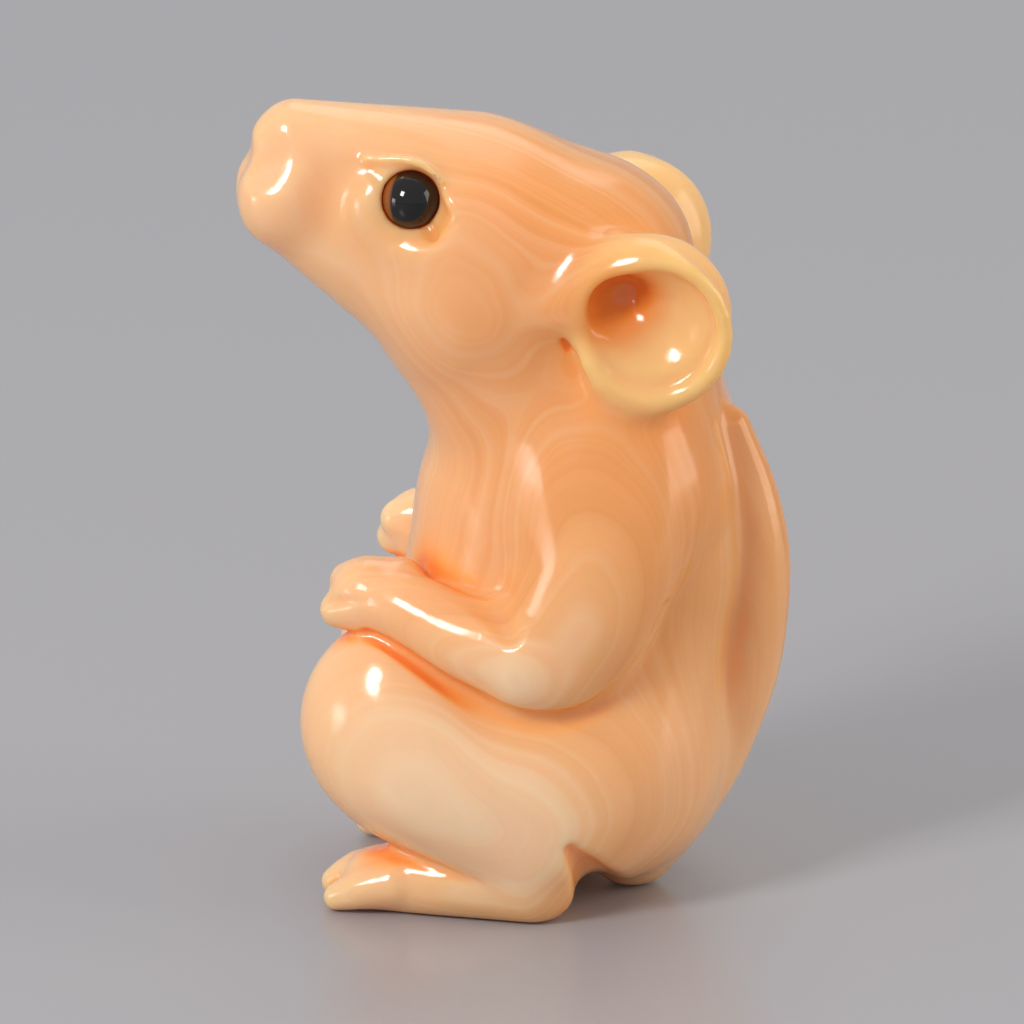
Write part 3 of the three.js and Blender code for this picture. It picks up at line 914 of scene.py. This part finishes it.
def add_node(
    tree: bpy.types.NodeTree,
    kind: str,
    inputs: dict | None = None,
    stops: list[tuple[float, str]] | None = None,
    **settings,
) -> bpy.types.Node:
    """Adds a node with its settings and links.

    Args:
        tree: The material's node tree.
        kind: The node's type.
        inputs: Value or output socket for each input, by name or number.
        stops: Place and sRGB hex colour of each stop, where the node is a colour ramp.
        **settings: The node's own properties.

    Returns:
        The node.
    """
    node = tree.nodes.new(kind)
    for key, value in settings.items():
        setattr(node, key, value)
    for key, value in (inputs or {}).items():
        if isinstance(value, bpy.types.NodeSocket):
            tree.links.new(value, node.inputs[key])
        else:
            node.inputs[key].default_value = value
    if stops:
        elements = node.color_ramp.elements
        while len(elements) < len(stops):
            elements.new(0.5)
        for element, (place, colour) in zip(elements, stops):
            element.position = place
            element.color = linear(colour)
    return node


class Finish:
    """A finish that makes its material once."""

    name = "finish"

    def material(self) -> bpy.types.Material:
        """The finish's material, made the first time that it is asked for."""
        known = bpy.data.materials.get(self.name)
        if known:
            return known
        made = bpy.data.materials.new(self.name)
        made.use_nodes = True
        self.dress(made.node_tree, made.node_tree.nodes["Principled BSDF"])
        return made

    def dress(self, tree: bpy.types.NodeTree, shader: bpy.types.Node) -> None:
        """Sets the shader and the nodes before it."""
        raise NotImplementedError


@dataclass(frozen=True)
class PolishedShell(Finish):
    """Banded shell, cut and polished by hand: thin layers lie across the rat from side to side.

    Attributes:
        name: The material's name.
        reach: X at the two ends of the layers, in millimetres.
        layers: Colour of the layers at each X.
        layer_width: Thickness of a fine layer, in millimetres.
        fine_share: How strongly the fine layers show.
        bend: How far the layers wander to either side, in millimetres.
        tilt: How far they lean out at the lower height and in at the upper one, in millimetres.
        tilt_heights: The two heights.
        front: Y from where the shell turns paler to where it is palest, and by how much.
        back: Y from where the painted shade of the back starts to where it is darkest, and by how much.
        height: Height of the rat, for the painted shade of its back, which is paler low down as painted
            bounce light from the floor.
        ear_share: How much of the ears' own colour shows.
        crease: How enclosed a crease is where the painted shade and glow start and where they are strongest,
            and by how much.
        ear_crease: The same in the ears.
        glow: Strength of the painted glow in the creases, an emission that stands in for light coming
            through the shell.
    """

    name: str = "polished banded shell"
    reach: tuple[float, float] = (-7.5, 7.5)
    layers: tuple[tuple[float, str], ...] = (
        (-7.5, "#FBE6C0"),
        (-5.0, "#F9DCAC"),
        (-3.0, "#F5CB98"),
        (-1.2, "#F3B880"),
        (-0.5, "#DCA46A"),
        (0.0, "#DEA468"),
        (0.7, "#E8A25A"),
        (2.0, "#EFA255"),
        (3.4, "#F19F50"),
        (4.4, "#F19C4C"),
        (5.4, "#F2A55A"),
        (6.2, "#F4B472"),
        (6.6, "#F8C898"),
        (7.0, "#F9D6AE"),
        (7.5, "#FADFBC"),
    )
    layer_width: float = 0.5
    fine_share: float = 0.35
    bend: float = 0.5
    tilt: float = 0.5
    tilt_heights: tuple[float, float] = (4.0, 14.0)
    front: Place = (1.5, -6.0, 0.75)
    back: Place = (0.5, 7.0, 0.45)
    height: float = 30.0
    ear_share: float = 0.85
    crease: Place = (0.15, 0.7, 0.75)
    ear_crease: Place = (0.45, 0.8, 0.6)
    glow: float = 0.06

    def across(self, tree: bpy.types.NodeTree, in_mm: bpy.types.NodeSocket) -> bpy.types.NodeSocket:
        """Works out how far across the bent and leaning layers each place lies.

        Args:
            tree: The material's node tree.
            in_mm: Places on the rat, in millimetres.

        Returns:
            The distance, in millimetres.
        """
        axes = add_node(tree, "ShaderNodeSeparateXYZ", {"Vector": in_mm}).outputs
        cloud = add_node(tree, "ShaderNodeTexNoise", {"Vector": in_mm, "Scale": 0.13, "Detail": 2.0})
        low, high = self.tilt_heights
        lean = {"From Min": low, "From Max": high, "To Min": self.tilt, "To Max": -self.tilt}
        spans = (
            {"Value": cloud.outputs["Fac"], "To Min": -self.bend, "To Max": self.bend},
            {"Value": axes["Z"], **lean},
        )
        layer = axes["X"]
        for span in spans:
            moved = add_node(tree, "ShaderNodeMapRange", span).outputs["Result"]
            layer = add_node(tree, "ShaderNodeMath", {0: layer, 1: moved}, operation="ADD").outputs["Value"]
        return layer

    def layer_colours(
        self, tree: bpy.types.NodeTree, layer: bpy.types.NodeSocket
    ) -> tuple[bpy.types.NodeSocket, bpy.types.NodeSocket]:
        """Colours the broad and the fine layers.

        Args:
            tree: The material's node tree.
            layer: How far across the layers each place lies, in millimetres.

        Returns:
            The colours of the broad layers and of the fine ones.
        """
        low, high = self.reach
        share = add_node(tree, "ShaderNodeMapRange", {"Value": layer, "From Min": low, "From Max": high})
        stops = [((x - low) / (high - low), colour) for x, colour in self.layers]
        broad = add_node(tree, "ShaderNodeValToRGB", {"Fac": share.outputs["Result"]}, stops)
        count = add_node(tree, "ShaderNodeMath", {0: layer, 1: 0.5 / self.layer_width}, operation="MULTIPLY")
        waves = {"W": count.outputs["Value"], "Scale": 1.0, "Detail": 5.0, "Roughness": 0.65}
        fine = add_node(tree, "ShaderNodeTexNoise", waves, noise_dimensions="1D").outputs["Fac"]
        stops = [(0.3, "#D98C52"), (0.5, "#F2B482"), (0.7, "#FBE2C0")]
        bands = add_node(tree, "ShaderNodeValToRGB", {"Fac": fine}, stops)
        return broad.outputs["Color"], bands.outputs["Color"]

    def dress(self, tree: bpy.types.NodeTree, shader: bpy.types.Node) -> None:
        """Sets the layers, the painted shade and glow of the creases, the painted shade of the ear canal and
        of the back, and the polish.

        Args:
            tree: The material's node tree.
            shader: The material's shader.
        """
        place = add_node(tree, "ShaderNodeTexCoord").outputs["Object"]
        in_mm = add_node(tree, "ShaderNodeVectorMath", {0: place, "Scale": 1 / MM}, operation="SCALE")
        in_mm = in_mm.outputs["Vector"]
        axes = add_node(tree, "ShaderNodeSeparateXYZ", {"Vector": in_mm}).outputs
        marks = {}
        for mark in ("ear", "canal", "hollow"):
            marks[mark] = add_node(tree, "ShaderNodeAttribute", attribute_name=mark).outputs["Fac"]
        spans = {
            "front": (axes["Y"], *self.front),
            "back": (axes["Y"], *self.back),
            "height": (axes["Z"], 0.0, self.height, 1.0),
            "ear": (marks["ear"], 0.0, 1.0, self.ear_share),
            "crease": (marks["hollow"], *self.crease),
            "ear crease": (marks["hollow"], *self.ear_crease),
        }
        shares = {}
        for span, (value, start, end, most) in spans.items():
            inputs = {"Value": value, "From Min": start, "From Max": end, "To Max": most}
            shares[span] = add_node(tree, "ShaderNodeMapRange", inputs).outputs["Result"]
        inputs = {"Value": marks["ear"], "To Min": shares["crease"], "To Max": shares["ear crease"]}
        glow = add_node(tree, "ShaderNodeMapRange", inputs).outputs["Result"]
        # Painted shade in the deep ear canal: a saturated orange where the canal lies deepest.
        inputs = {0: marks["canal"], 1: marks["ear"]}
        painted_canal_shade = add_node(tree, "ShaderNodeMath", inputs, operation="MULTIPLY").outputs["Value"]
        # Painted shade on the back, away from the key light: darker higher up, and paler low down as painted
        # bounce light from the floor.
        stops = [(0.15, "#F8D0A4"), (0.35, "#EEB478"), (0.6, "#DE9044")]
        behind = add_node(tree, "ShaderNodeValToRGB", {"Fac": shares["height"]}, stops).outputs["Color"]
        # Painted shade and glow in the creases: a deeper orange the more enclosed a crease is.
        stops = [(0.35, "#FFA650"), (0.7, "#FF983C"), (0.95, "#F47E22")]
        painted_crease_glow = add_node(tree, "ShaderNodeValToRGB", {"Fac": marks["hollow"]}, stops).outputs["Color"]
        colour, bands = self.layer_colours(tree, self.across(tree, in_mm))
        # The coats: the fine layers, the paler front, the painted shade of the back, the ears' own colour,
        # the painted shade of the ear canal, and the painted shade and glow of the creases.
        coats = (
            (self.fine_share, bands),
            (shares["front"], linear("#FFCB9C")),
            (shares["back"], behind),
            (shares["ear"], linear("#F8C680")),
            (painted_canal_shade, linear("#EE8018")),
            (glow, painted_crease_glow),
        )
        for share, coat in coats:
            inputs = {"Factor": share, 6: colour, 7: coat}
            colour = add_node(tree, "ShaderNodeMix", inputs, data_type="RGBA").outputs[2]
        tree.links.new(colour, shader.inputs["Base Color"])
        # Light goes a few millimetres into the shell, red the furthest, so its thin edges look warm and
        # soft. The polish gives small clear highlights.
        shader.inputs["Roughness"].default_value = 0.16
        shader.inputs["IOR"].default_value = 1.53
        shader.inputs["Subsurface Weight"].default_value = 0.65
        shader.inputs["Subsurface Radius"].default_value = (1.0, 0.45, 0.2)
        shader.inputs["Subsurface Scale"].default_value = 2.0 * MM
        # The emission is a painted glow in the creases, standing in for light that comes through the shell.
        shader.inputs["Emission Color"].default_value = linear("#FF9C30")
        lit = add_node(tree, "ShaderNodeMath", {0: glow, 1: self.glow}, operation="MULTIPLY")
        tree.links.new(lit.outputs["Value"], shader.inputs["Emission Strength"])
        ripple = add_node(tree, "ShaderNodeTexNoise", {"Vector": in_mm, "Scale": 1.6, "Detail": 2.0})
        inputs = {"Height": ripple.outputs["Fac"], "Strength": 0.25, "Distance": 0.05 * MM}
        bump = add_node(tree, "ShaderNodeBump", inputs)
        tree.links.new(bump.outputs["Normal"], shader.inputs["Normal"])


@dataclass(frozen=True)
class BlackBead(Finish):
    """Opaque black glass, fire-polished: deep black with sharp highlights, and a brown front edge painted as
    the shell's reflection and the socket's shade.

    Attributes:
        name: The material's name.
        painted_edge_reflection: How far back the painted brown edge is whole, and how far back it ends, from
            -1 to 1.
    """

    name: str = "black glass bead"
    painted_edge_reflection: tuple[float, float] = (-0.42, -0.3)

    def dress(self, tree: bpy.types.NodeTree, shader: bpy.types.Node) -> None:
        """Sets the glass.

        Args:
            tree: The material's node tree.
            shader: The material's shader.
        """
        place = add_node(tree, "ShaderNodeTexCoord").outputs["Object"]
        cloud = add_node(tree, "ShaderNodeTexNoise", {"Vector": place, "Scale": 0.6 / MM, "Detail": 2.0})
        stops = [(0.35, "#060608"), (0.7, "#120C0A")]
        black = add_node(tree, "ShaderNodeValToRGB", {"Fac": cloud.outputs["Fac"]}, stops).outputs["Color"]
        backward = add_node(tree, "ShaderNodeAttribute", attribute_name="backward").outputs["Fac"]
        # The brown front edge is a painted reflection of the shell and painted shade from the socket's lip.
        start, end = self.painted_edge_reflection
        inputs = {"Value": backward, "From Min": start, "From Max": end, "To Min": 1.0, "To Max": 0.0}
        painted_edge_reflection = add_node(tree, "ShaderNodeMapRange", inputs).outputs["Result"]
        inputs = {"Factor": painted_edge_reflection, 6: black, 7: linear("#8A4A1C")}
        colour = add_node(tree, "ShaderNodeMix", inputs, data_type="RGBA")
        tree.links.new(colour.outputs[2], shader.inputs["Base Color"])
        shader.inputs["Roughness"].default_value = 0.06
        shader.inputs["IOR"].default_value = 1.52
        inputs = {"Height": cloud.outputs["Fac"], "Strength": 0.2, "Distance": 0.04 * MM}
        bump = add_node(tree, "ShaderNodeBump", inputs)
        tree.links.new(bump.outputs["Normal"], shader.inputs["Normal"])


@dataclass(frozen=True)
class PaleFloor(Finish):
    """A plain pale tabletop with a soft sheen."""

    name: str = "pale tabletop"

    def dress(self, tree: bpy.types.NodeTree, shader: bpy.types.Node) -> None:
        """Sets the plain floor."""
        shader.inputs["Base Color"].default_value = linear("#A5A3A6")
        shader.inputs["Roughness"].default_value = 0.28


@dataclass(frozen=True)
class Studio:
    """Floor, lights and camera."""

    floor_size: float = 2.0
    azimuth: float = 100.0
    elevation: float = 18.0
    lens: float = 1200.0
    sensor: float = 36.0
    frame_pixels: float = 1024.0
    pixels_per_mm: float = 27.6
    target: Place = (0.0, -0.11, 13.9)

    def build_floor(self) -> bpy.types.Object:
        """Lays the floor under the rat."""
        half = self.floor_size / 2 / MM
        corners = [(-half, -half, 0), (half, -half, 0), (half, half, 0), (-half, half, 0)]
        return new_piece("floor", np.array(corners), [(0, 1, 2, 3)], PaleFloor())

    def back(self) -> Vector:
        """Direction from the rat to the camera."""
        a, e = math.radians(self.azimuth), math.radians(self.elevation)
        return Vector((math.sin(a) * math.cos(e), -math.cos(a) * math.cos(e), math.sin(e)))

    def build_camera(self) -> None:
        """Sets the camera at the photograph's angle."""
        data = bpy.data.cameras.new("camera")
        data.lens = self.lens
        data.sensor_width = self.sensor
        camera = bpy.data.objects.new("camera", data)
        away = self.frame_pixels / self.pixels_per_mm * self.lens / self.sensor * MM
        camera.location = Vector(self.target) * MM + self.back() * away
        camera.rotation_mode = "QUATERNION"
        camera.rotation_quaternion = (-self.back()).to_track_quat("-Z", "Y")
        bpy.context.scene.collection.objects.link(camera)
        bpy.context.scene.camera = camera

    def add_light(
        self,
        name: str,
        azimuth: float,
        elevation: float,
        away: float,
        size: tuple[float, float],
        power: float,
        colour: str,
    ) -> None:
        """Adds a softbox that faces the rat.

        Args:
            name: Name of the light.
            azimuth: Its direction seen from the camera, in degrees, positive to the right.
            elevation: Its height above the horizon, in degrees.
            away: Its distance, in metres.
            size: Its width and height, in metres.
            power: Watts.
            colour: sRGB hex colour.
        """
        data = bpy.data.lights.new(name, "AREA")
        data.shape = "RECTANGLE"
        data.size, data.size_y = size
        data.energy = power
        data.color = linear(colour)[:3]
        light = bpy.data.objects.new(name, data)
        a, e = math.radians(self.azimuth + azimuth), math.radians(elevation)
        aim = Vector((math.sin(a) * math.cos(e), -math.cos(a) * math.cos(e), math.sin(e)))
        light.location = Vector(self.target) * MM + aim * away
        light.rotation_mode = "QUATERNION"
        light.rotation_quaternion = aim.to_track_quat("Z", "Y")
        bpy.context.scene.collection.objects.link(light)

    def build_lights(self) -> None:
        """Adds the lights and the pale surroundings."""
        self.add_light("key", -42, 36, 0.35, (0.08, 0.1), 0.65, "#FFFFFF")
        self.add_light("window", -72, 2, 0.35, (0.09, 0.09), 0.13, "#FFFFFF")
        self.add_light("fill", 85, 15, 0.5, (0.35, 0.35), 1.1, "#FFF2DC")
        self.add_light("top", 165, 60, 0.4, (0.25, 0.25), 0.25, "#FFFFFF")
        world = bpy.data.worlds.new("surroundings")
        world.use_nodes = True
        background = world.node_tree.nodes["Background"]
        background.inputs["Color"].default_value = linear("#E6E8EC")
        background.inputs["Strength"].default_value = 0.68
        bpy.context.scene.world = world
        bpy.context.scene.view_settings.view_transform = "Standard"


def main() -> None:
    """Builds the rat, its eyes and the studio."""
    logging.basicConfig(level=logging.INFO, format="%(message)s")
    carving = Carving()
    shell, glass = PolishedShell(), BlackBead()
    body = carving.build(shell)
    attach(body, "root")
    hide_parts("rat_body")
    log.info("%s: %d faces", body.name, len(body.data.polygons))
    for eye in carving.eyes:
        bead = eye.build(glass, carving.head.turn)
        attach(bead, "root")
        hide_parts(eye.node)
        log.info("%s: %d faces", bead.name, len(bead.data.polygons))
    studio = Studio()
    studio.build_floor()
    studio.build_camera()
    studio.build_lights()


if __name__ == "__main__":
    main()
